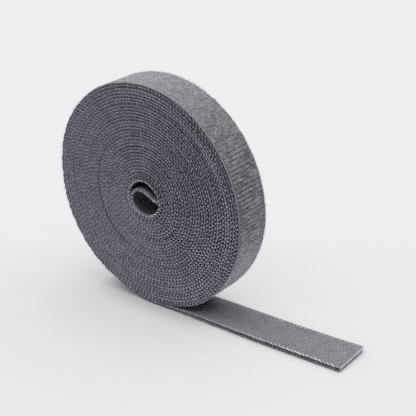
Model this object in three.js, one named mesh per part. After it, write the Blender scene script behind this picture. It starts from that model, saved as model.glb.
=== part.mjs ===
// A roll of back-to-back hook and loop tape. It stands on its rim, and its free end is laid out on the floor.
// Two strips are bonded back to back and wound together: the hook strip faces the eye, the loop strip faces out.
// Millimetres. X runs along the laid-out tail, Y across the tape and Z up. The origin is the middle of the base.
import * as THREE from "three";

// Driving dimensions of the tape.
const tapeWidth = 20;
const hookStripThickness = 0.55;
const loopStripThickness = 0.57;
const bondClearance = 0.3; // the place of the thin bond between the two backs

// Driving dimensions of the roll.
const eyeRadius = 8.4; // from the roll's middle to the hook side of the first turn, straight below
const windingClearance = 0.51; // between the loop side of one turn and the hook side of the next
const tailLength = 105.8; // from below the roll's middle to the cut end
const standingFlatDepth = 0.5; // how deep the rim is flattened where the roll stands

// Counts of the winding. The outermost turns, whose outline shows, have twice the steps.
const loopCount = 24;
const fineLoopCount = 2;
const stepsPerLoop = 21;
const stepsPerTonguePoint = 2;

// The innermost end bends back across the eye as a tongue. These are places on the tape's middle surface, from
// the cut end on the right over to the left side of the first turn, as shares of the first turn's radius,
// rightwards and upwards from the roll's middle.
const tongueShares = [
  [0.85, -0.06],
  [0.45, 0.11],
  [0.06, 0.34],
  [-0.36, 0.45],
  [-0.77, 0.3],
];

// The tape's layers, measured outwards from its middle surface.
const tapeThickness = hookStripThickness + bondClearance + loopStripThickness;
const hookSide = -tapeThickness / 2;
const hookBack = hookSide + hookStripThickness;
const loopBack = hookBack + bondClearance;
const loopSide = loopBack + loopStripThickness;

// Radii of the middle surface. A turn is one tape and one clearance further out than the turn before it.
const pitch = tapeThickness + windingClearance;
const firstTurnRadius = eyeRadius + tapeThickness / 2;
const lastTurnRadius = firstTurnRadius + loopCount * pitch;
const outerRadius = lastTurnRadius + tapeThickness / 2;
const centreHeight = outerRadius - standingFlatDepth;

const fullTurn = 2 * Math.PI;
const stepAngle = fullTurn / stepsPerLoop;

// A point beside the roll's middle, in the plane of the roll's face: x to the right and y up from the floor.
function fromMiddle(right, up) {
  return new THREE.Vector2(right, centreHeight + up);
}

// A point of the winding's middle surface: the radius grows by one pitch for each turn of the angle.
// The angle is zero straight below the middle and grows by way of the right side, the top and the left side.
function spiralPoint(angle) {
  const radius = firstTurnRadius + (pitch * angle) / fullTurn;
  return fromMiddle(radius * Math.sin(angle), -radius * Math.cos(angle));
}

// The tongue: a smooth curve through its chosen places, which ends on the left side of the first turn and
// heads there as the spiral does.
function tonguePoints(startAngle) {
  const places = tongueShares.map(([right, up]) =>
    fromMiddle(right * firstTurnRadius, up * firstTurnRadius),
  );
  places.push(spiralPoint(startAngle), spiralPoint(startAngle + stepAngle));
  const curve = new THREE.SplineCurve(places);
  const stepCount = tongueShares.length * stepsPerTonguePoint;
  const stepShare = 1 / ((places.length - 1) * stepsPerTonguePoint);
  return Array.from({ length: stepCount }, (_, step) => curve.getPoint(step * stepShare));
}

// Every turn has a corner half a step to each side of straight down, so that a flat of each faces the floor.
// The finer turns have one more corner halfway between two others, except straight down.
function spiralPoints(startAngle) {
  const points = [spiralPoint(startAngle)];
  const halfStepsPerLoop = 2 * stepsPerLoop;
  const firstFineHalfStep = (loopCount - fineLoopCount) * halfStepsPerLoop;
  const lastHalfStep = loopCount * halfStepsPerLoop - 2;
  const firstHalfStep = Math.floor((2 * startAngle) / stepAngle) + 2;
  for (let halfStep = firstHalfStep; halfStep <= lastHalfStep; halfStep += 1) {
    const isCorner = halfStep % 2 !== 0;
    const isFineCorner = halfStep > firstFineHalfStep && halfStep % halfStepsPerLoop !== 0;
    if (isCorner || isFineCorner) {
      points.push(spiralPoint((halfStep / 2) * stepAngle));
    }
  }
  return points;
}

// The last turn touches down a little before the lowest place and runs on flat along the floor to the cut end.
// A line across the tail, straight below the roll's right side, parts the free tail from what the roll overhangs.
function tailPoints() {
  const floorLine = tapeThickness / 2;
  const touchdownAngle = Math.acos((centreHeight - floorLine) / lastTurnRadius);
  return [
    new THREE.Vector2(-lastTurnRadius * Math.sin(touchdownAngle), floorLine),
    new THREE.Vector2(outerRadius, floorLine),
    new THREE.Vector2(tailLength, floorLine),
  ];
}

// Moves a line of points outwards, to the right of the way it runs, by the same distance everywhere.
function offsetLine(points, distance) {
  const normals = points.slice(1).map((point, index) => {
    const along = point.clone().sub(points[index]).normalize();
    return new THREE.Vector2(along.y, -along.x);
  });
  return points.map((point, index) => {
    const before = normals[Math.max(index - 1, 0)];
    const after = normals[Math.min(index, normals.length - 1)];
    const mitre = before.clone().add(after).divideScalar(1 + before.dot(after));
    return point.clone().addScaledVector(mitre, distance);
  });
}

// One strip of the tape: an unbroken tube of rectangular section along the tape's path, closed at both ends.
function stripGeometry(insideLine, outsideLine) {
  const positions = [];
  insideLine.forEach((inside, index) => {
    const outside = outsideLine[index];
    positions.push(inside.x, -tapeWidth / 2, inside.y);
    positions.push(outside.x, -tapeWidth / 2, outside.y);
    positions.push(outside.x, tapeWidth / 2, outside.y);
    positions.push(inside.x, tapeWidth / 2, inside.y);
  });
  const cornerCount = 4;
  const indices = [];
  for (let station = 0; station < insideLine.length - 1; station += 1) {
    const here = station * cornerCount;
    const next = here + cornerCount;
    for (let corner = 0; corner < cornerCount; corner += 1) {
      const beside = (corner + 1) % cornerCount;
      indices.push(here + corner, here + beside, next + beside);
      indices.push(here + corner, next + beside, next + corner);
    }
  }
  const last = (insideLine.length - 1) * cornerCount;
  indices.push(0, 2, 1, 0, 3, 2);
  indices.push(last, last + 1, last + 2, last, last + 2, last + 3);
  const geometry = new THREE.BufferGeometry();
  geometry.setAttribute("position", new THREE.Float32BufferAttribute(positions, 3));
  geometry.setIndex(indices);
  geometry.computeVertexNormals();
  return geometry;
}

function distanceToSegment(point, from, to) {
  const along = to.clone().sub(from);
  const share = point.clone().sub(from).dot(along) / along.lengthSq();
  const nearest = from.clone().addScaledVector(along, THREE.MathUtils.clamp(share, 0, 1));
  return point.distanceTo(nearest);
}

// The least gap between stretches of one strip that lie a quarter of a turn or more apart along it, measured
// from the corners and the middles of its facets.
function leastGapToItself(insideLine, outsideLine) {
  const faces = [insideLine, outsideLine];
  const farEnough = Math.ceil(stepsPerLoop / 2);
  let least = Infinity;
  for (const face of faces) {
    face.slice(1).forEach((corner, index) => {
      const samples = [corner, corner.clone().lerp(face[index], 1 / 2)];
      for (const other of faces) {
        for (let next = index + farEnough; next < other.length; next += 1) {
          for (const sample of samples) {
            least = Math.min(least, distanceToSegment(sample, other[next - 1], other[next]));
          }
        }
      }
    });
  }
  return least;
}

const firstTurnStart = -fullTurn / 4; // the left side of the first turn, where the tongue joins it
const middleLine = [...tonguePoints(firstTurnStart), ...spiralPoints(firstTurnStart), ...tailPoints()];

function strip(name, insideOffset, outsideOffset, material) {
  const insideLine = offsetLine(middleLine, insideOffset);
  const outsideLine = offsetLine(middleLine, outsideOffset);
  const gap = leastGapToItself(insideLine, outsideLine);
  console.log(`${name}: least gap to itself ${gap.toFixed(2)} mm`);
  const mesh = new THREE.Mesh(stripGeometry(insideLine, outsideLine), material);
  mesh.name = name;
  return mesh;
}

const hookWeave = new THREE.MeshStandardMaterial({ color: 0x74777d, roughness: 0.85, metalness: 0 });
const loopPile = new THREE.MeshStandardMaterial({ color: 0x83858a, roughness: 0.95, metalness: 0 });

const roll = new THREE.Group();
roll.name = "hook_and_loop_tape_roll";
roll.add(strip("hook_strip", hookSide, hookBack, hookWeave));
roll.add(strip("loop_strip", loopBack, loopSide, loopPile));

// The whole tape, both strips as one, for the clearance between its turns.
const tapeGap = leastGapToItself(offsetLine(middleLine, hookSide), offsetLine(middleLine, loopSide));
console.log(`whole tape: least gap to itself ${tapeGap.toFixed(2)} mm`);

// The roll is set over the middle of its own base.
const base = new THREE.Box3().setFromObject(roll);
roll.position.x = -(base.min.x + base.max.x) / 2;

export default roll;
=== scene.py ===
"""A roll of back-to-back hook and loop tape, standing on its rim with its free end laid out on the floor.

The tape is two strips of cloth bonded back to back, wound thirty turns round nothing but itself. Every piece is
worked out along the same winding line, in three measures: along the tape from the cut end inside the eye, out from
the hook side towards the loop side, and across from the middle of its width. Sizes are millimetres until a mesh
is made, in a frame whose zero is the floor below the roll's middle.
"""

import bpy
import numpy as np
from mathutils import Matrix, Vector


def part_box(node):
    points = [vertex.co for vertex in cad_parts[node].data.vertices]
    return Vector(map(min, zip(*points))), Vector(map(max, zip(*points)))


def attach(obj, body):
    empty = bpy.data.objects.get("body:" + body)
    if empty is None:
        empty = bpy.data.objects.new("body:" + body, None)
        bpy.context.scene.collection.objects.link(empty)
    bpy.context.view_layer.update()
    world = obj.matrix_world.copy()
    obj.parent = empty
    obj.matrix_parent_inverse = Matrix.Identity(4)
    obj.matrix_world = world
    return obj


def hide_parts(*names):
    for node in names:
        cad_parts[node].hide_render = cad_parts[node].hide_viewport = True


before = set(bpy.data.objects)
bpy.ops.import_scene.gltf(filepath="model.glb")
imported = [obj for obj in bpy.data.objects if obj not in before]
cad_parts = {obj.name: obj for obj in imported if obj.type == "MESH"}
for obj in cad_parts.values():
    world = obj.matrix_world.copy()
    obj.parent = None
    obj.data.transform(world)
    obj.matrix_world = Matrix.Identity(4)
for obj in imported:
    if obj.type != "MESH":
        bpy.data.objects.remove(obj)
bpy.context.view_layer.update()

MM = 0.001
FULL_TURN = 2 * np.pi

# The tape.
HALF_WIDTH = 10.0
THICKNESS = 1.42
LOOP_CLOTH_TOP = 1.10  # the loop side of the loop strip's ground cloth, out from the hook side
STITCH_PITCH = 2.08
STITCH_SIDES = 5
FURROW_PITCH = 1.94
HOOK_ROW_PITCH = 1.06
HOOK_PLACE_PITCH = 1.1
HOOK_PLACES = 17
LIFT = 0.7  # how much thicker the free tail is than a turn that is pressed between two others

# The roll.
TURNS = 30
TURN_PITCH = 1.54
FIRST_HOOK_RADIUS = 8.52
CENTRE_HEIGHT = 56.02
OUTER_TURN_RADIUS = 54.2
EYE_END = 84  # the length of the tongue and the first turn, which line the eye
TAIL_END = 105.8
ROW_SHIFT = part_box("loop_strip")[1].x / MM - TAIL_END

# How far apart points are along the winding line, and rings along the ground cloths.
LINE_STEP = 0.1
CLOTH_STEP = 1.085

# The hook side of the tongue: places right of and above the roll's middle, from its cut end across the eye.
TONGUE = np.array([
    (8.2, -1.1), (6.3, -0.55), (4.4, 0.1), (1.7, 1.6), (-1.1, 2.85), (-4.2, 3.25), (-6.9, 1.95),
    (-8.6, -0.6), (-8.6, -3.7), (-6.7, -6.3), (-3.8, -7.95), (-0.2, -8.4),
])

# How far the first turn departs from an even spiral: degrees from straight down, and millimetres outwards.
EYE_DENTS = np.array([
    (0, -0.12), (27, -0.5), (53, -0.35), (73, -0.1), (90, -0.15), (115, -0.8), (135, -1.35), (160, -1.3),
    (180, -1.1), (205, -0.8), (225, -0.4), (250, 0.2), (270, 0.75), (294, 1.05), (315, 0.8), (337, 0.4), (360, -0.12),
])

# Where the winding is slack: the turn that stands off the one below it, how far, and over what part of a turn.
SLACK_TURNS = np.array([
    (1.36, 0.2, 0.18), (8.1, 0.28, 0.16), (14.82, 0.36, 0.24), (19.3, 0.15, 0.14), (24.35, 0.36, 0.17),
    (29.36, 0.45, 0.17),
])

chance = np.random.default_rng(41)


def smooth_step(value, low, high):
    """Zero below low, one above high, and the cubic 3t^2 - 2t^3 of the share t between them."""
    t = np.clip((value - low) / (high - low), 0, 1)
    return t * t * (3 - 2 * t)


def bump(value, centre, width):
    """A bell: e to the minus square of the distance from the centre in widths."""
    return np.exp(-(((value - centre) / width) ** 2))


def ripple(value, longest, shortest, count, seed):
    """A smooth, endless wander: a sum of sines whose wavelengths run evenly in ratio from longest to shortest, each
    with its own phase, scaled so that it mostly stays between minus one and one."""
    dice = np.random.default_rng(seed)
    lengths = longest * (shortest / longest) ** (np.arange(count) / max(count - 1, 1))
    phases = dice.uniform(0, FULL_TURN, count)
    waves = np.sin(FULL_TURN * np.asarray(value)[..., None] / lengths + phases)
    return waves.sum(-1) / np.sqrt(count)


def grain(along, across, cell, seed):
    """Smooth random relief: a table of random heights, one for each cell, blended between the four nearest with
    the cubic smooth step. It repeats after 251 by 257 cells."""
    dice = np.random.default_rng(seed)
    table = dice.uniform(-1, 1, (251, 257))
    a, b = np.asarray(along) / cell[0], np.asarray(across) / cell[1]
    i, j = np.floor(a).astype(int), np.floor(b).astype(int)
    p, q = a - i, b - j
    p, q = p * p * (3 - 2 * p), q * q * (3 - 2 * q)
    near = table[i % 251, j % 257] * (1 - q) + table[i % 251, (j + 1) % 257] * q
    far = table[(i + 1) % 251, j % 257] * (1 - q) + table[(i + 1) % 251, (j + 1) % 257] * q
    return near * (1 - p) + far * p


def winding():
    """The hook side's line from the tongue's cut end to the tail's, every tenth of a millimetre.

    The tongue is a smoothed line through its places. The spiral's radius grows by one pitch a turn. The first turns
    have the dents of the eye, which fade outwards, and the middle turns sit a little further out at the upper right.
    The outer turns are flatter just left of where the roll stands and fuller just right of it. Each slack turn adds
    a bell to the radius, and the nine turns after it add 0.7 of the one before. The tail is straight, and rises by
    the lift just past where it leaves the roll.
    """
    angle = np.linspace(0, FULL_TURN * TURNS, 240001)
    turn, degrees = angle / FULL_TURN, np.degrees(angle) % 360
    dent = np.interp(degrees, EYE_DENTS[:, 0], EYE_DENTS[:, 1])
    dent = np.convolve(np.pad(dent, 200, mode="edge"), np.hanning(401) / np.hanning(401).sum(), "valid")
    dent = np.where(dent > 0, np.maximum(dent - 0.13 * turn, 0), dent * 0.66 ** turn)
    even = FIRST_HOOK_RADIUS + TURN_PITCH * turn
    middle = np.sin(np.pi * np.clip((even - 9) / 46, 0, 1)) ** 2
    lean = 0.9 * middle * np.cos(np.radians(degrees - 120))
    slack = smooth_step(even, 12, 55)
    sag = slack * (0.45 * bump(degrees, 31, 12) - 1.15 * bump(degrees, 338, 15) * smooth_step(360 - degrees, 0, 14))
    later = np.arange(10)
    bells = bump(turn[:, None, None], SLACK_TURNS[:, 0, None] + later, SLACK_TURNS[:, 2, None])
    open_turns = (bells * SLACK_TURNS[:, 1, None] * 0.7 ** later).sum((1, 2)) * smooth_step(TURNS - turn, 0, 0.4)
    radius = even + dent + lean + sag + open_turns
    across, up = radius * np.sin(angle), -radius * np.cos(angle)
    stands_at = THICKNESS - CENTRE_HEIGHT
    press = stands_at + radius[-1]
    up = up + press * slack * bump((degrees + 180) % 360 - 180, 0, 12)
    spiral = np.stack([across, up], axis=1)
    share = np.linspace(0, 1, 41)[:, None]
    tail = (1 - share) * [0.0, stands_at] + share * [TAIL_END, stands_at]
    tail = tail + LIFT * smooth_step(tail[:, :1], 3, 24) * [0, 1]
    steps = np.linspace(0, len(TONGUE) - 1, 1200)
    tongue = np.stack([np.interp(steps, np.arange(len(TONGUE)), TONGUE[:, k]) for k in (0, 1)], axis=1)
    line = np.concatenate([tongue[:-1], spiral, tail[1:]])
    line = evenly_spaced(line, LINE_STEP)
    bell = np.hanning(37)[1:-1]
    padded = np.concatenate([2 * line[0] - line[17:0:-1], line, 2 * line[-1] - line[-2:-19:-1]])
    line = np.stack([np.convolve(padded[:, k], bell / bell.sum(), "valid") for k in (0, 1)], axis=1)
    return evenly_spaced(line + [0.0, CENTRE_HEIGHT], LINE_STEP)


def evenly_spaced(line, step):
    """The same line again, with points the same distance apart along it."""
    along = np.concatenate([[0], np.cumsum(np.hypot(*np.diff(line, axis=0).T))])
    places = np.linspace(0, along[-1], int(along[-1] / step) + 1)
    return np.stack([np.interp(places, along, line[:, k]) for k in (0, 1)], axis=1)


LINE = winding()
LINE_S = np.concatenate([[0], np.cumsum(np.hypot(*np.diff(LINE, axis=0).T))])
LENGTH = LINE_S[-1]
HEADING = np.gradient(LINE, LINE_S, axis=0)
HEADING /= np.hypot(*HEADING.T)[:, None]
TURNED = np.unwrap(np.arctan2(LINE[:, 0], CENTRE_HEIGHT - LINE[:, 1])) / FULL_TURN
TURNED += TURNS - np.round(TURNED[-1])
TAIL_START = LENGTH - TAIL_END
OUTER_TURN_START = TAIL_START - FULL_TURN * OUTER_TURN_RADIUS


def turned(s):
    """How many turns the line has made at each length, from straight down at the start of the spiral."""
    return np.interp(s, LINE_S, TURNED)


def sideways(s):
    """How far each stretch of tape is wound off the middle plane: a slow wander that dies out where the tail starts,
    two turns that stand proud on the right, and the tail's slight bow."""
    wander = 0.17 * ripple(s, 420, 45, 9, 5) * (1 - smooth_step(s, TAIL_START - 60, TAIL_START + 20))
    proud = 0.35 * bump(turned(s), 25.31, 0.11) + 0.25 * bump(turned(s), 18.2, 0.09)
    return wander - proud - 0.52 * bump(s, TAIL_START + 63, 31)


def light_band(turn):
    """The part of two neighbouring turns near the rim, on the right, whose selvedges catch the light. The inner one
    also stands proud."""
    return bump(turn, 25.31, 0.15) + 0.8 * bump(turn, 26.3, 0.15)


def parted(turn):
    """How far a turn has parted from the one below it, as a share, where the winding is slack."""
    return bump(turn[..., None], SLACK_TURNS[:, 0], SLACK_TURNS[:, 2]).sum(-1)


def twist(s):
    """How far the tail's far edge is lifted off the floor, most at its cut end."""
    return 0.36 * smooth_step(s, TAIL_START + 12, TAIL_START + 40) + 0.3 * smooth_step(s, LENGTH - 16, LENGTH)


def far_lift(s, y):
    """The twist's share of lift at each place across the tape: none at the near edge, all of it at the far one."""
    return twist(s) * np.clip(y / HALF_WIDTH + 1, 0, 2) ** 2 / 4


def groove_opening_and_shade(s):
    """How open the groove between the two strips is, which also sets how much painted shade lies in it: widest on the
    roll's right side, less so low on the outer turns, and wide round the second turn. It is shut on the left and nearly
    so in the eye and on the two light turns, and uneven by a ripple everywhere."""
    degrees = turned(s) % 1 * 360
    even = np.interp(degrees, [0, 15, 30, 45, 60, 100, 140, 180, 220, 260, 310, 360],
                     [0.0, 0.25, 0.8, 1.2, 1.45, 1.5, 1.1, 0.2, 0.05, 0.15, 0.1, 0.0])
    even = even - 0.4 * smooth_step(turned(s), 14, 26) * bump(degrees, 34, 26)
    even = even + 1.6 * bump(turned(s), 1.2, 0.5) - 0.7 * in_eye(s) - 0.7 * light_band(turned(s))
    return even + 0.3 * ripple(s, 24, 2.6, 9, 8)


def fullness(s):
    """The tape's thickness as a share: the tongue's cut end is pinched thin."""
    return 0.62 + 0.38 * smooth_step(s, 0, 13)


def loft(s):
    """How much deeper the brushed pile stands where nothing presses it: on the outermost turn, least on the right
    and less at the upper left, and under the tail."""
    on_rim = np.interp(turned(s) - TURNS + 1, [0.02, 0.11, 0.36, 0.45, 0.56, 0.64, 0.78, 0.9, 0.97],
                       [0.0, 0.1, 0.1, 0.4, 0.4, 0.18, 0.3, 0.3, 0.0])
    return on_rim + LIFT * smooth_step(s - TAIL_START, 3, 24)


def on_tape(along, out, across):
    """Places on the tape as points of the row frame, in metres: from the hook side's line at that length, out along
    the right-hand normal of the way it runs, and across in y. Nothing goes below the floor."""
    x, z = (np.interp(along, LINE_S, LINE[:, k]) for k in (0, 1))
    tx, tz = (np.interp(along, LINE_S, HEADING[:, k]) for k in (0, 1))
    out = out * fullness(along)
    beyond = along - np.clip(along, 0, LENGTH)
    return np.stack([
        x + tz * out + tx * beyond + ROW_SHIFT,
        across + sideways(along),
        np.maximum(z - tx * out + tz * beyond + far_lift(along, across), 0.01),
    ], axis=-1) * MM


def piece(name, points, quads, triangles, uv, node, slot, material, tone):
    """A mesh from whole arrays of points, four-sided and three-sided faces, with a UV map and a tone attribute on
    its points, which rides on the root and stands for a CAD node."""
    mesh = bpy.data.meshes.new(name)
    corners = np.concatenate([quads.ravel(), triangles.ravel()]).astype(np.int32)
    starts = np.concatenate([4 * np.arange(len(quads)), 4 * len(quads) + 3 * np.arange(len(triangles))])
    mesh.vertices.add(len(points))
    mesh.vertices.foreach_set("co", np.asarray(points, np.float32).ravel())
    mesh.loops.add(len(corners))
    mesh.loops.foreach_set("vertex_index", corners)
    mesh.polygons.add(len(starts))
    mesh.polygons.foreach_set("loop_start", starts.astype(np.int32))
    mesh.update(calc_edges=True)
    mesh.validate()
    mesh.polygons.foreach_set("use_smooth", np.ones(len(starts), bool))
    mesh.uv_layers.new(name="tape").data.foreach_set("uv", np.asarray(uv, np.float32)[corners].ravel())
    attribute = mesh.attributes.new("tone", "FLOAT", "POINT")
    attribute.data.foreach_set("value", np.asarray(tone, np.float32))
    mesh.materials.append(material)
    obj = bpy.data.objects.new(name, mesh)
    bpy.context.scene.collection.objects.link(obj)
    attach(obj, "root")
    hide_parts(node)
    return obj


def tube_faces(stations, corners):
    """Faces of a tube whose rings follow one another in the point list: four-sided walls, and each end closed by a
    ladder of four-sided faces across its ring, which has an even number of corners."""
    station, corner = np.meshgrid(np.arange(stations - 1), np.arange(corners), indexing="ij")
    here, beside = station * corners + corner, station * corners + (corner + 1) % corners
    walls = np.stack([here, beside, beside + corners, here + corners], axis=-1).reshape(-1, 4)
    rung = np.arange(corners // 2 - 1)
    start = np.stack([rung, corners - 1 - rung, corners - 2 - rung, rung + 1], axis=1)
    end = start[:, ::-1] + (stations - 1) * corners
    return np.concatenate([walls, start, end])


def strand(line, radii, sides):
    """One short strand in the tape's three measures: a ring of points round each point of its line, as wide as the
    radius there, and a point beyond each end. Returns the points, four-sided and three-sided faces, and UV."""
    line, radii = np.asarray(line, float), np.asarray(radii, float)
    heading = np.gradient(line, axis=0)
    heading /= np.linalg.norm(heading, axis=1)[:, None]
    aside = np.cross(heading, [0.31, 0.17, 0.93])
    aside /= np.linalg.norm(aside, axis=1)[:, None]
    above = np.cross(heading, aside)
    turn = FULL_TURN * np.arange(sides) / sides
    ring = np.cos(turn)[None, :, None] * aside[:, None] + np.sin(turn)[None, :, None] * above[:, None]
    rings = line[:, None] + radii[:, None, None] * ring
    first = line[0] - heading[0] * radii[0] * 0.6
    last = line[-1] + heading[-1] * radii[-1] * 0.6
    points = np.concatenate([rings.reshape(-1, 3), [first, last]])
    count = len(line)
    k, j = np.meshgrid(np.arange(count - 1), np.arange(sides), indexing="ij")
    here, beside = k * sides + j, k * sides + (j + 1) % sides
    quads = np.stack([here, beside, beside + sides, here + sides], axis=-1).reshape(-1, 4)
    rim = np.arange(sides)
    after = (rim + 1) % sides
    last_ring = (count - 1) * sides
    low = np.stack([np.full(sides, count * sides), after, rim], axis=1)
    high = np.stack([np.full(sides, count * sides + 1), rim + last_ring, after + last_ring], axis=1)
    run = np.concatenate([[0], np.cumsum(np.linalg.norm(np.diff(line, axis=0), axis=1))])
    uv = np.stack(np.broadcast_arrays(run[:, None], turn[None, :] / FULL_TURN), axis=-1).reshape(-1, 2)
    uv = np.concatenate([uv, [[-0.1, 0.5], [run[-1] + 0.1, 0.5]]])
    return points, quads, np.concatenate([low, high]), uv


def strands(template, along, out, across, sizes, mirrored=False):
    """Copies of one strand laid on the tape, one for each place, grown by its size. Mirrored copies are turned over
    across the tape, and their faces are turned round so that they still point outwards."""
    points, quads, triangles, uv = template
    flip = -1 if mirrored else 1
    grown = points[None] * np.asarray(sizes)[:, None, None]
    places = on_tape(
        along[:, None] + grown[..., 0],
        out[:, None] + grown[..., 1],
        across[:, None] + flip * grown[..., 2],
    ).reshape(-1, 3)
    first = len(points) * np.arange(len(along))
    quads = (first[:, None, None] + quads[None]).reshape(-1, 4)
    triangles = (first[:, None, None] + triangles[None]).reshape(-1, 3)
    if mirrored:
        quads, triangles = quads[:, ::-1], triangles[:, ::-1]
    shift = np.stack([chance.uniform(0, 50, len(along)), np.zeros(len(along))], axis=1)
    uv = (uv[None] + shift[:, None]).reshape(-1, 2)
    return places, quads, triangles, uv


def in_eye(s):
    """One along the tongue and the first turn, falling to zero past them."""
    return 1 - smooth_step(s, EYE_END, EYE_END + 12)


def show_of_hooks(s):
    """How plainly the hooks show against their cloth: not at all by the roll, and fully near the tail's cut end."""
    return smooth_step(s, TAIL_START + 40, TAIL_START + 72)


def tail_painted_shading(s, y):
    """The tail's painted shading as a share: a painted shadow of the roll, lower on the middle of its first half, and a
    little higher towards its cut end.
    """
    beyond = s - TAIL_START
    first_half = smooth_step(beyond, 14, 30) * (1 - smooth_step(beyond, 36, 68))
    middle = smooth_step(y, -6.5, -2.5) * (1 - smooth_step(y, 3.5, 8))
    return 1 - 0.5 * first_half * middle + 0.07 * smooth_step(beyond, 70, 104)


def deep_inside(y):
    """Zero near both edges of the tape, and one in the middle of its width."""
    return smooth_step(HALF_WIDTH - np.abs(y), 3, 9)


def both_edges(outline):
    """The outline of a cloth's cut across, from the far edge's places as out, across and tone: the same places
    again on the near edge, in the order that makes a tube's faces point outwards."""
    return np.concatenate([outline, outline[::-1] * [1, -1, 1]])


# Materials.


def base_material(name, colour, roughness, sheen):
    """A principled cloth with sheen, its nodes, and the sockets that the finishes below build on."""
    material = bpy.data.materials.new(name)
    material.use_nodes = True
    nodes, links = material.node_tree.nodes, material.node_tree.links
    shader = nodes["Principled BSDF"]
    shader.inputs["Base Color"].default_value = (*colour, 1)
    shader.inputs["Roughness"].default_value = roughness
    shader.inputs["Specular IOR Level"].default_value = 0.25
    shader.inputs["Sheen Weight"].default_value = sheen
    shader.inputs["Sheen Roughness"].default_value = 0.45
    return material, nodes, links, shader


def node(nodes, kind, **settings):
    """A node of that kind, with properties set by name and inputs set by their label."""
    made = nodes.new(kind)
    for key, value in settings.items():
        if hasattr(made, key):
            setattr(made, key, value)
        else:
            made.inputs[key.replace("_", " ")].default_value = value
    return made


def times(nodes, links, first, second):
    """The product of two values, each a socket or a number."""
    made = nodes.new("ShaderNodeMath")
    made.operation = "MULTIPLY"
    for socket, value in zip(made.inputs, (first, second)):
        if isinstance(value, (int, float)):
            socket.default_value = value
        else:
            links.new(value, socket)
    return made.outputs[0]


def cloth_material(name, dark, light, roughness, sheen, mottle, thread, bump_height, specks=0.0):
    """Yarn cloth: the colour runs from dark to light with a mottle in object space, specks and the piece's own
    tone, and the relief is a plain weave of threads. Specks and threads lie on the UV map, which is in millimetres
    along and across the tape."""
    material, nodes, links, shader = base_material(name, light, roughness, sheen)
    place = nodes.new("ShaderNodeTexCoord")
    broad = node(nodes, "ShaderNodeTexNoise", Scale=mottle, Detail=3.0)
    links.new(place.outputs["Object"], broad.inputs["Vector"])
    tone = node(nodes, "ShaderNodeAttribute", attribute_name="tone")
    span = node(nodes, "ShaderNodeMapRange", From_Min=0.3, From_Max=0.7, To_Min=0.82, To_Max=1.12)
    links.new(broad.outputs[0], span.inputs["Value"])
    share = times(nodes, links, span.outputs[0], tone.outputs["Fac"])
    across = nodes.new("ShaderNodeUVMap")
    across.uv_map = "tape"
    stretch = node(nodes, "ShaderNodeMapping", Scale=(2.4, 1.3, 1.0))
    fine = node(nodes, "ShaderNodeTexNoise", Scale=1.0, Detail=1.0)
    speck = node(nodes, "ShaderNodeMapRange", From_Min=0.3, From_Max=0.7, To_Min=1 - specks, To_Max=1 + specks)
    links.new(across.outputs[0], stretch.inputs["Vector"])
    links.new(stretch.outputs[0], fine.inputs["Vector"])
    links.new(fine.outputs[0], speck.inputs["Value"])
    share = times(nodes, links, share, speck.outputs[0])
    mix = node(nodes, "ShaderNodeMix", data_type="RGBA")
    mix.inputs["A"].default_value = (*dark, 1)
    mix.inputs["B"].default_value = (*light, 1)
    links.new(share, mix.inputs["Factor"])
    mix.clamp_factor = False
    links.new(mix.outputs["Result"], shader.inputs["Base Color"])
    split = nodes.new("ShaderNodeSeparateXYZ")
    links.new(across.outputs[0], split.inputs[0])
    waves = []
    for axis in "XY":
        turns = times(nodes, links, split.outputs[axis], FULL_TURN / thread)
        wave = nodes.new("ShaderNodeMath")
        wave.operation = "SINE"
        links.new(turns, wave.inputs[0])
        waves.append(wave.outputs[0])
    weave = times(nodes, links, *waves)
    relief = node(nodes, "ShaderNodeBump", Distance=bump_height, Strength=0.8)
    links.new(weave, relief.inputs["Height"])
    links.new(relief.outputs[0], shader.inputs["Normal"])
    return material


CLOTH_SHADE = (0.012, 0.012, 0.015)
YARN_SHADE = (0.1, 0.1, 0.12)
PILE_SHADE = (0.05, 0.05, 0.058)
NYLON_SHADE = (0.1, 0.1, 0.11)
HOOK_CLOTH_FINISH = cloth_material("hook_cloth", CLOTH_SHADE, (0.34, 0.34, 0.41), 0.85, 0.1, 250, 0.5, 0.00006)
LOOP_CLOTH_FINISH = cloth_material("loop_cloth", CLOTH_SHADE, (0.3, 0.3, 0.36), 0.9, 0.1, 250, 0.5, 0.00006)
HOOK_YARN = cloth_material("hook_selvedge_yarn", YARN_SHADE, (0.55, 0.553, 0.632), 0.6, 0.1, 150, 0.3, 0.00003)
LOOP_YARN = cloth_material("loop_selvedge_yarn", YARN_SHADE, (0.42, 0.42, 0.5), 0.85, 0.15, 150, 0.3, 0.00003)
PILE = cloth_material("brushed_loop_pile", PILE_SHADE, (0.36, 0.357, 0.383), 0.95, 0.15, 300, 0.4, 0.00005, 0.45)
HOOK_NYLON = cloth_material("hook_filament", NYLON_SHADE, (0.735, 0.78, 0.735), 0.5, 0.05, 150, 0.5, 0.00002)
STITCH_NYLON = cloth_material("stitch_filament", NYLON_SHADE, (0.77, 0.78, 0.77), 0.5, 0.05, 150, 0.5, 0.00002)

# The two strips of ground cloth, whole from the tongue's cut end to the tail's.

# Each cloth is flat in the middle and thickened by its selvedges, which nearly meet those of the next turn. The groove
# between the two strips' selvedges has painted shade.
HOOK_OUTLINE = both_edges(np.array([
    (0.60, 8.9, 0.0), (0.52, 9.3, 0.03), (0.45, 9.66, 0.4), (0.26, 9.86, 1.0), (0.04, 9.74, 1.0), (-0.06, 9.4, 0.9),
    (0.16, 8.8, 0.8), (0.20, 7.6, 0.5),
]))
LOOP_OUTLINE = both_edges(np.array([
    (1.10, 8.4, 0.7), (1.44, 9.1, 0.9), (1.42, 9.46, 1.0), (1.22, 9.58, 1.0), (1.02, 9.44, 0.5), (0.95, 9.15, 0.03),
    (0.70, 8.9, 0.0),
]))


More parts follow.
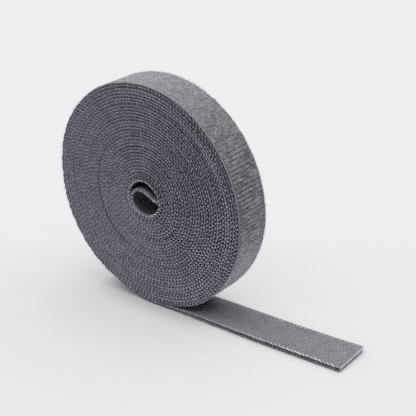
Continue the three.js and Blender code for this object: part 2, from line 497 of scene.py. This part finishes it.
def ground_tone(s, y):
    """The tone of the hook strip's ground between its hooks: painted shade in the eye, most so near its edges, and on
    the tail lighter for the first half, where the hooks hardly show, and darker for the rest, where they do."""
    on_tail = smooth_step(s, TAIL_START - 10, TAIL_START + 10)
    outside = 0.5 + 0.28 * on_tail - 0.25 * show_of_hooks(s)
    return (0.2 + 0.5 * deep_inside(y)) * in_eye(s) + outside * (1 - in_eye(s))


def outer_left(turn, width):
    """One at the upper left of the last two turns. It falls to zero over the two turns below them, and by a bell of
    that width, in turns, along the tape."""
    return smooth_step(turn, 26, 28) * bump(turn % 1, 0.64, width)


def cloth_strip(name, outline, node_name, slot, material, turns_over):
    """One strip's ground cloth: its outline carried along the whole winding line, as a closed tube. It has painted
    shade where the groove is open and where two turns have parted, the hook side has the ground's tone between the
    selvedges, and the face of the tail's cut end has painted light."""
    stations = np.linspace(0, LENGTH, int(LENGTH / CLOTH_STEP))
    along, out = np.meshgrid(stations, outline[:, 0], indexing="ij")
    across = np.broadcast_to(outline[:, 1], along.shape)
    open_and_shaded = groove_opening_and_shade(along)
    groove = (out > 0.4) & (out < 1.05) & (np.abs(across) > 9)
    # Painted shade in the groove, darker the more open it is.
    tone = np.where(groove, outline[:, 2] + 0.6 * np.clip(1 - open_and_shaded, -0.2, 0.95), outline[:, 2])
    turn = turned(along)
    # Less painted shade in the groove on the upper left of the last two turns.
    tone = tone + 0.3 * groove * outer_left(turn, 0.2)
    facing = (out < 0.1) if turns_over == 0 else (out > 1.3)
    tone = np.clip(tone, 0, 1) * (1 + 0.25 * grain(along, out, (0.9, 0.4), 51))
    # Painted shade on the side that faces the gap under a slack turn.
    tone = tone * (1 - 0.65 * np.minimum(parted(turn + turns_over), 1) * facing)
    hook_side, ground = out < 0.3, ground_tone(along, across)
    beside_edge = np.abs(np.abs(across) - 8.8) < 0.1
    # The ground on the tail takes the painted shadow of the roll.
    tone = np.where(hook_side & (np.abs(across) < 8), ground * tail_painted_shading(along, across), tone)
    tone = np.where(hook_side & beside_edge, np.maximum(ground, 0.8 * in_eye(along)), tone)
    # Painted light on the face of the tail's cut end, less at the hook side's corners.
    tone[-1] = np.where(hook_side[-1], 0.6, 2.4)
    out = out + np.where(groove, np.sign(out - 0.75) * 0.12 * (open_and_shaded - 0.5), 0)
    points = on_tape(along, out, across).reshape(-1, 3)
    uv = np.stack([along, across], axis=-1).reshape(-1, 2)
    quads = tube_faces(len(stations), len(outline))
    return piece(name, points, quads, np.zeros((0, 3), int), uv, node_name, slot, material, tone.ravel())


hook_cloth = cloth_strip("hook_strip_cloth", HOOK_OUTLINE, "hook_strip", "hook_weave", HOOK_CLOTH_FINISH, 0)
loop_cloth = cloth_strip("loop_strip_cloth", LOOP_OUTLINE, "loop_strip", "loop_pile", LOOP_CLOTH_FINISH, 1)

# The selvedges: one slanted stitch of yarn after another, wrapped over each strip's edge.


def painted_edge_light(s, extra):
    """Painted light and shade on the stitches: lightest on the roll's lower right, more so outwards, on the light turns
    and on the left of the last turns, darker low on the left, and darker on the tail's first half under the painted
    shadow of the roll."""
    turn, beyond = turned(s), s - TAIL_START
    lower_right = np.exp(2 * np.cos(FULL_TURN * (turn - 0.14)) - 2)
    light = 1.01 + (0.4 + 0.3 * smooth_step(turn, 12, 24)) * lower_right + extra + 0.4 * light_band(turn)
    light = light + 0.14 * outer_left(turn, 0.18) - 0.05 * bump(turn % 1, 0.84, 0.1)
    first_half = smooth_step(beyond, 14, 30) * (1 - smooth_step(beyond, 50, 66))
    return light * (1 - 0.5 * first_half + 0.04 * smooth_step(beyond, 66, 104))


def selvedge(name, start, end, mirrored, stitch, sunk, extra_light, node_name, slot, material, seed):
    """Stitches at the stitch pitch along one edge of one strip, each a little off its place, size and light, on top of
    the painted edge light. They are pressed in where the groove is shut, and the side of them that faces a slack turn's
    gap has painted shade."""
    line, radii, shades = stitch
    dice = np.random.default_rng(seed)
    count = int((end - start) / STITCH_PITCH)
    along = start + STITCH_PITCH * np.arange(count) + dice.normal(0, 0.13, count)
    template = strand(line, radii, STITCH_SIDES)
    pressed_in = 0.12 * (1 - np.clip(groove_opening_and_shade(along), 0, 1)) * (along < TAIL_START)
    across = (1 if mirrored else -1) * (HALF_WIDTH - pressed_in + dice.normal(0, 0.05, count))
    data = strands(template, along, dice.normal(sunk, 0.03, count), across, dice.normal(1, 0.06, count), mirrored)
    light = painted_edge_light(along, extra_light) * dice.normal(1, 0.11, count)
    # Painted shade on the side of each stitch that faces a slack turn's gap.
    dim = 1 - 0.5 * np.minimum(parted(turned(along) + (node_name == "loop_strip")), 1)
    shade = np.repeat(shades, STITCH_SIDES).reshape(1, -1) * light[:, None]
    by_gap = slice(0, 2 * STITCH_SIDES) if node_name == "hook_strip" else slice(3 * STITCH_SIDES, None)
    shade[:, by_gap] *= dim[:, None]
    shade = np.concatenate([shade, shade[:, :1], shade[:, -1:]], axis=1)
    return piece(name, *data, node_name, slot, material, shade.ravel())


# A stitch: its line as along, out and across, with across counted inwards from the edge, its radii and its shades,
# which are painted shade towards the ends that go down into the cloth and the groove. The hook strip's stitches reach
# over the groove. Round the eye they are short and bright, partly by a painted highlight, and those on the tail lie
# along its top.
HOOK_STITCH = (
    [(-1.2, 0.04, 1.6), (-0.7, -0.1, 0.9), (-0.2, 0.02, 0.28), (0.1, 0.3, 0.12), (0.26, 0.6, 0.14), (0.36, 0.88, 0.32)],
    [0.12, 0.18, 0.21, 0.22, 0.22, 0.18], [0.9, 1.05, 1.1, 1.0, 0.8, 0.5])
EYE_STITCH = (
    [(-1.15, 0.02, 1.0), (-0.7, 0.0, 0.4), (-0.15, 0.08, 0.08), (0.35, 0.3, 0.04), (0.75, 0.6, 0.12), (1.0, 0.86, 0.3)],
    [0.11, 0.16, 0.19, 0.19, 0.15, 0.1], [0.5, 0.9, 1.2, 1.22, 1.0, 0.5])
LOOP_STITCH = (
    [(0.9, 0.74, 0.85), (0.55, 0.94, 0.5), (0.0, 1.1, 0.36), (-0.5, 1.2, 0.4), (-0.9, 1.3, 0.65)],
    [0.12, 0.15, 0.16, 0.15, 0.12], [0.3, 0.7, 1.1, 1.1, 1.0])
TAIL_STITCH = (
    [(-1.3, 0.12, 1.35), (-0.75, 0.05, 1.05), (-0.1, 0.04, 0.72), (0.5, 0.08, 0.42), (1.0, 0.3, 0.2), (1.3, 0.55, 0.2)],
    [0.1, 0.16, 0.19, 0.17, 0.14, 0.1], [0.85, 1.0, 1.04, 0.95, 0.7, 0.5])

for side, mirrored, seed in (("near", False, 11), ("far", True, 12)):
    buried, dimmer = 0.16 * mirrored, -0.24 * mirrored
    selvedge(f"eye_selvedge_{side}", 0.8, EYE_END, mirrored, EYE_STITCH, 0.22, 0, "hook_strip", "hook_weave",
             STITCH_NYLON, seed + 30)
    selvedge(f"hook_selvedge_{side}", EYE_END + 0.8, TAIL_START + 3, mirrored, HOOK_STITCH, 0, 0, "hook_strip",
             "hook_weave", HOOK_YARN, seed)
    selvedge(f"tail_selvedge_{side}", TAIL_START + 4, LENGTH - 0.8, mirrored, TAIL_STITCH, buried, dimmer,
             "hook_strip", "hook_weave", STITCH_NYLON, seed + 20)
    selvedge(f"loop_selvedge_{side}", 0.8, TAIL_START + 6, mirrored, LOOP_STITCH, 0, 0, "loop_strip", "loop_pile",
             LOOP_YARN, seed + 10)
    selvedge(f"under_selvedge_{side}", TAIL_START + 7, LENGTH - 1, mirrored, LOOP_STITCH, 0.1, -0.2, "loop_strip",
             "loop_pile", LOOP_YARN, seed + 40)

# The brushed pile, where the loop side shows: on the outermost turn and under the tail, and on the tongue.


def pile_relief(s, y):
    """The pile's height above its cloth, and its tone: clumps of two sizes, cut by a narrow furrow across the tape for
    every row of loops and a fainter one half-way to the next. The furrows waver and break, and are deep only on the
    roll's right side. The tone is lower in the furrows as painted shade, varies with the clumps, has painted light at
    the lower right and the upper left, and painted shade at the upper right."""
    at = (turned(s) - TURNS + 1) * 360
    depth = 0.1 + 0.9 * smooth_step(at, 54, 92) * (1 - smooth_step(at, 106, 146))
    waver = 0.14 * grain(s, y, (9, 5), 3) + 0.09 * grain(s, y, (2.2, 1.6), 4)
    phase = (s + waver) / FURROW_PITCH
    furrow = np.exp(-((np.abs(phase - np.round(phase)) / 0.115) ** 2))
    broken = np.clip(0.85 + grain(s, y, (1.9, 4.5), 6), 0, 1)
    half_way = np.exp(-((np.abs(phase - np.floor(phase) - 0.5) / 0.12) ** 2))
    cut = (furrow * broken + 0.7 * half_way * np.clip(0.2 + grain(s, y, (1.9, 3.5), 9), 0, 1)) * depth
    clumps = 0.25 * grain(s, y, (1.1, 0.9), 7) + 0.7 * grain(s, y, (0.45, 0.9), 8)
    # Painted light and shade round the rim.
    shaded = 1 - 0.3 * bump(at, 136, 34) + 1.2 * bump(at, 44, 32) + 0.22 * bump(at, 198, 34)
    strength = 0.38 + 0.34 * bump(at, 130, 40)
    return 0.28 + 0.14 * clumps - 0.2 * cut, np.clip((1 + strength * clumps - 1.65 * cut) * shaded, 0.02, 2.2)


def pile_mat(name, start, end, step, rows, half_width, material):
    """A closed mat of pile on the loop cloth: its top is the relief over a grid, rounded down to the cloth along both
    edges, and its underside lies just inside the cloth. It stops short of the near edge on the roll's right, reaches a
    little past it on the left, and stops short of the far edge at the cut end. It is deeper under the lifted side of
    the tail, so that it reaches the floor. It has painted shade in the eye away from its edges, is darker along the
    tail's second half, and has painted light at the cut."""
    stations = np.linspace(start, end, int((end - start) / step))
    across = np.sin(np.linspace(-1, 1, rows) * 1.3) / np.sin(1.3)
    s, y = np.meshgrid(stations, across, indexing="ij")
    height, tone = pile_relief(s, y * half_width)
    edge = np.clip(1 - (np.abs(y) / 1.001) ** 40, 0, 1) ** 0.4
    under_tail = smooth_step(s, TAIL_START - 14, TAIL_START - 2)
    height = height + loft(s) - under_tail * np.maximum(0, LOOP_CLOTH_TOP + height - THICKNESS + 0.02)
    height = height + far_lift(s, y * half_width)
    # Painted shade in the eye away from its edges.
    tone = tone * (1 - 0.9 * in_eye(s) * smooth_step(half_width * (1 - np.abs(y)), 0.3, 2.8))
    second_half = smooth_step(s, TAIL_START + 40, TAIL_START + 66) * (1 - smooth_step(s, LENGTH - 2, LENGTH - 0.5))
    # Painted light at the tail's cut end.
    tone = tone * (1 - 0.3 * second_half) * (1 + 0.8 * smooth_step(s, LENGTH - 0.6, LENGTH - 0.2))
    out = LOOP_CLOTH_TOP - 0.12 + (height + 0.12) * edge
    degrees = (turned(s) - TURNS + 1) * 360
    short_of_edge = (1.9 * bump(degrees, 97, 36) - 0.15 * bump(degrees, 258, 62)) * (y < 0)
    short_of_edge = short_of_edge + 1.3 * smooth_step(s, LENGTH - 8, LENGTH) * (y > 0)
    y = y * (half_width - short_of_edge) * (1 + 0.03 * grain(s, 3.7 * np.sign(y), (1.3, 1), 14))
    under = np.array([9.2, 3.0, -3.0, -9.2])
    s_under, y_under = np.meshgrid(stations, under, indexing="ij")
    s = np.concatenate([s, s_under], axis=1)
    y = np.concatenate([y, y_under], axis=1)
    out = np.concatenate([out, np.full(s_under.shape, LOOP_CLOTH_TOP - 0.15)], axis=1)
    tone = np.concatenate([tone, np.full(s_under.shape, 0.4)], axis=1)
    corners = s.shape[1]
    quads = tube_faces(len(stations), corners)[:, ::-1]
    points = on_tape(s, out, y).reshape(-1, 3)
    uv = np.stack([s, y], axis=-1).reshape(-1, 2)
    return piece(name, points, quads, np.zeros((0, 3), int), uv, "loop_strip", "loop_pile", material, tone.ravel())


pile_mat("rim_pile", OUTER_TURN_START - 12, TAIL_START - 4, 0.2, 44, 9.8, PILE)
pile_mat("tail_pile", TAIL_START - 6, LENGTH - 0.15, 0.4, 44, 10.0, PILE)
pile_mat("tongue_pile", 0.3, 30, 0.35, 46, 9.95, LOOP_YARN)

# The hooks, where the hook side shows: on the tail's top, and inside the eye.


def hook_field(name, start, end, material, seed):
    """Rows of small arched hooks across the tape, every other row shifted by half a place. In the eye they have painted
    shade between the edges and the middle of the width, and on the tail they are darker by the roll, partly by its
    painted shadow."""
    dice = np.random.default_rng(seed)
    rows = int((end - start) / HOOK_ROW_PITCH)
    row, place = np.meshgrid(np.arange(rows), np.arange(HOOK_PLACES), indexing="ij")
    along = (end - 0.3 - HOOK_ROW_PITCH * row + dice.normal(0, 0.025, row.shape)).ravel()
    across = HOOK_PLACE_PITCH * (place - (HOOK_PLACES - 1) / 2 + 0.25 - 0.5 * (row % 2))
    across = (across + dice.normal(0, 0.025, row.shape)).ravel()
    arch = [(-0.1, 0.2, -0.36), (0.0, 0.0, -0.28), (0.06, -0.12, 0.0), (0.0, 0.0, 0.28), (-0.1, 0.18, 0.34)]
    template = strand(arch, [0.11, 0.15, 0.16, 0.15, 0.1], 4)
    count = len(along)
    data = strands(template, along, np.full(count, 0.08), across, dice.normal(1, 0.06, count))
    past_edge = smooth_step(HALF_WIDTH - np.abs(across), 0.6, 2.3)
    # Painted shade in the eye.
    shaded = (0.75 * past_edge - 1.1 * deep_inside(across)) * in_eye(along)
    showing = 0.6 + 0.4 * np.maximum(show_of_hooks(along), in_eye(along))
    light = tail_painted_shading(along, across) * (1 - shaded) * showing
    tone = np.repeat(dice.normal(1, 0.05, count) * light, len(template[0]))
    return piece(name, *data, "hook_strip", "hook_weave", material, tone)


hook_field("tail_hooks", TAIL_START + 4, LENGTH - 0.05, HOOK_NYLON, 21)
hook_field("eye_hooks", 0.5, 95, HOOK_YARN, 22)

# The cut end of the tail: a thin bead of melted yarn along its top.


def cut_bead():
    """One wavering bead across the tape at its cut end: a strand whose line and radius are each a ripple."""
    across = np.linspace(-9.6, 9.6, 60)
    line = np.stack([0.06 * ripple(across, 6, 0.8, 7, 61), 0.03 * ripple(across, 5, 0.9, 6, 62), across], axis=1)
    template = strand(line, 0.16 * (1 + 0.25 * ripple(across, 3, 0.7, 6, 63)), 8)
    data = strands(template, np.array([LENGTH]), np.array([0.12]), np.zeros(1), np.ones(1))
    return piece("hook_cut_bead", *data, "hook_strip", "hook_weave", STITCH_NYLON, np.full(len(data[0]), 1.1))


cut_bead()

# Loose fibres of the brushed pile, which stand out from the rim and over its edges.


def fuzz(name, count, at_edges, seed):
    """Fine curled hairs rooted in the rim's pile, some of them along its two edges, each with its own lean and
    size. There are none where the roll stands and under the tail."""
    dice = np.random.default_rng(seed)
    along = dice.uniform(OUTER_TURN_START + 12, TAIL_START - 12, count)
    spread = dice.uniform(-1, 1, count)
    edge = np.sign(spread) * (HALF_WIDTH - 0.25 * np.abs(dice.normal(0, 1, count)))
    across = np.where(dice.uniform(0, 1, count) < at_edges, edge, spread * (HALF_WIDTH - 0.4))
    kinds, kind_count = [], 6
    for _ in range(kind_count):
        lean = dice.normal(0, 0.45, 2)
        curl = dice.normal(0, 0.35, 2)
        t = np.linspace(0, 1, 4)[:, None]
        line = np.concatenate(
            [lean[0] * t + curl[0] * t * t, 0.85 * t - 0.3 * t * t, lean[1] * t + curl[1] * t * t], axis=1)
        kinds.append(strand(line, [0.022, 0.02, 0.016, 0.008], 3))
    parts, base = [], 0
    for kind, template in enumerate(kinds):
        chosen = np.arange(count) % kind_count == kind
        data = strands(template, along[chosen], 1.2 + loft(along[chosen]), across[chosen],
                       dice.uniform(0.4, 1.1, chosen.sum()))
        parts.append((data[0], data[1] + base, data[2] + base, data[3]))
        base += len(data[0])
    joined = [np.concatenate([part[k] for part in parts]) for k in range(4)]
    return piece(name, *joined, "loop_strip", "loop_pile", PILE, np.full(base, 1.9))


fuzz("rim_fuzz", 7500, 0.0, 31)
fuzz("edge_fuzz", 5000, 1.0, 32)

# The floor, the light and the camera.


def floor():
    """A wide round sheet, flat under the roll. In view it is near white, its shadows are filled by half with a glow,
    though less so close under the roll, where ambient occlusion darkens the glow as a painted contact shadow, and it is
    a little whiter beyond a line behind the roll. The light that it throws back on the roll is that of a greyer,
    slightly cool sheet."""
    radius, corners = 6, 96
    angle = FULL_TURN * np.arange(corners) / corners
    ring = np.stack([radius * np.cos(angle), radius * np.sin(angle), np.zeros(corners)], axis=1)
    mesh = bpy.data.meshes.new("floor")
    mesh.from_pydata(ring.tolist(), [], [list(range(corners))])
    material = bpy.data.materials.new("pale_floor")
    material.use_nodes = True
    nodes, links = material.node_tree.nodes, material.node_tree.links
    nodes.clear()
    matt = node(nodes, "ShaderNodeBsdfDiffuse", Color=(0.58, 0.585, 0.63, 1))
    seen = node(nodes, "ShaderNodeBsdfDiffuse", Color=(0.86, 0.86, 0.88, 1))
    filled = node(nodes, "ShaderNodeEmission", Color=(0.81, 0.81, 0.825, 1), Strength=1.0)
    place = nodes.new("ShaderNodeTexCoord")
    behind = node(nodes, "ShaderNodeVectorMath", operation="DOT_PRODUCT")
    behind.inputs[1].default_value = (-0.535, 0.845, 0)
    start = 0.0592 - 0.535 * ROW_SHIFT * MM
    rise = node(nodes, "ShaderNodeMapRange", From_Min=start - 0.01, From_Max=start + 0.01, To_Min=0.985, To_Max=1.04)
    links.new(place.outputs["Object"], behind.inputs[0])
    links.new(behind.outputs["Value"], rise.inputs["Value"])
    # Ambient occlusion in the glow: a painted contact shadow under the roll.
    close = node(nodes, "ShaderNodeAmbientOcclusion", samples=12, Distance=0.013)
    links.new(times(nodes, links, rise.outputs[0], close.outputs["AO"]), filled.inputs["Strength"])
    half = node(nodes, "ShaderNodeMixShader", Fac=0.5)
    path = nodes.new("ShaderNodeLightPath")
    pick = nodes.new("ShaderNodeMixShader")
    out = nodes.new("ShaderNodeOutputMaterial")
    links.new(seen.outputs[0], half.inputs[1])
    links.new(filled.outputs[0], half.inputs[2])
    links.new(path.outputs["Is Camera Ray"], pick.inputs[0])
    links.new(matt.outputs[0], pick.inputs[1])
    links.new(half.outputs[0], pick.inputs[2])
    links.new(pick.outputs[0], out.inputs[0])
    mesh.materials.append(material)
    obj = bpy.data.objects.new("floor", mesh)
    bpy.context.scene.collection.objects.link(obj)


def lights():
    """One wide soft lamp overhead, a little behind, and a faint cool sky. The sky in view is the floor's white."""
    lamp = bpy.data.lights.new("overhead", "SUN")
    lamp.energy = 3.0
    lamp.angle = np.radians(88)
    lamp.color = (1.0, 0.985, 0.965)
    obj = bpy.data.objects.new("overhead", lamp)
    obj.rotation_euler = (np.radians(-4), np.radians(5), 0)
    bpy.context.scene.collection.objects.link(obj)
    world = bpy.data.worlds.new("studio")
    bpy.context.scene.world = world
    world.use_nodes = True
    nodes, links = world.node_tree.nodes, world.node_tree.links
    nodes.clear()
    sky = node(nodes, "ShaderNodeBackground", Color=(0.88, 0.93, 1.0, 1), Strength=0.08)
    seen = node(nodes, "ShaderNodeBackground", Color=(0.85, 0.85, 0.86, 1), Strength=1.0)
    path = nodes.new("ShaderNodeLightPath")
    mix = nodes.new("ShaderNodeMixShader")
    out = nodes.new("ShaderNodeOutputWorld")
    links.new(path.outputs["Is Camera Ray"], mix.inputs[0])
    links.new(sky.outputs[0], mix.inputs[1])
    links.new(seen.outputs[0], mix.inputs[2])
    links.new(mix.outputs[0], out.inputs[0])


def camera():
    """The photograph's view: the camera's place, its three axes from azimuth, elevation and roll, and its lens."""
    azimuth, elevation, roll = np.radians([40.683, 23.878, -3.679])
    back = np.array([np.sin(azimuth) * np.cos(elevation), -np.cos(azimuth) * np.cos(elevation), np.sin(elevation)])
    right = np.array([np.cos(azimuth), np.sin(azimuth), 0.0])
    up = np.cross(right, -back)
    right, up = np.cos(roll) * right + np.sin(roll) * up, np.cos(roll) * up - np.sin(roll) * right
    place = (np.array([287.9, -300.2, 230.0]) + [ROW_SHIFT, 0, 0]) * MM
    lens = bpy.data.cameras.new("camera")
    lens.lens = 82.36
    lens.sensor_width = 36
    lens.clip_start, lens.clip_end = 0.01, 20
    obj = bpy.data.objects.new("camera", lens)
    axes = np.stack([right, up, back], axis=1).tolist()
    obj.matrix_world = Matrix([[*row, p] for row, p in zip(axes, place.tolist())] + [[0, 0, 0, 1]])
    bpy.context.scene.collection.objects.link(obj)
    bpy.context.scene.camera = obj


floor()
lights()
camera()
bpy.context.scene.view_settings.view_transform = "Standard"
bpy.context.scene.cycles.use_denoising = False
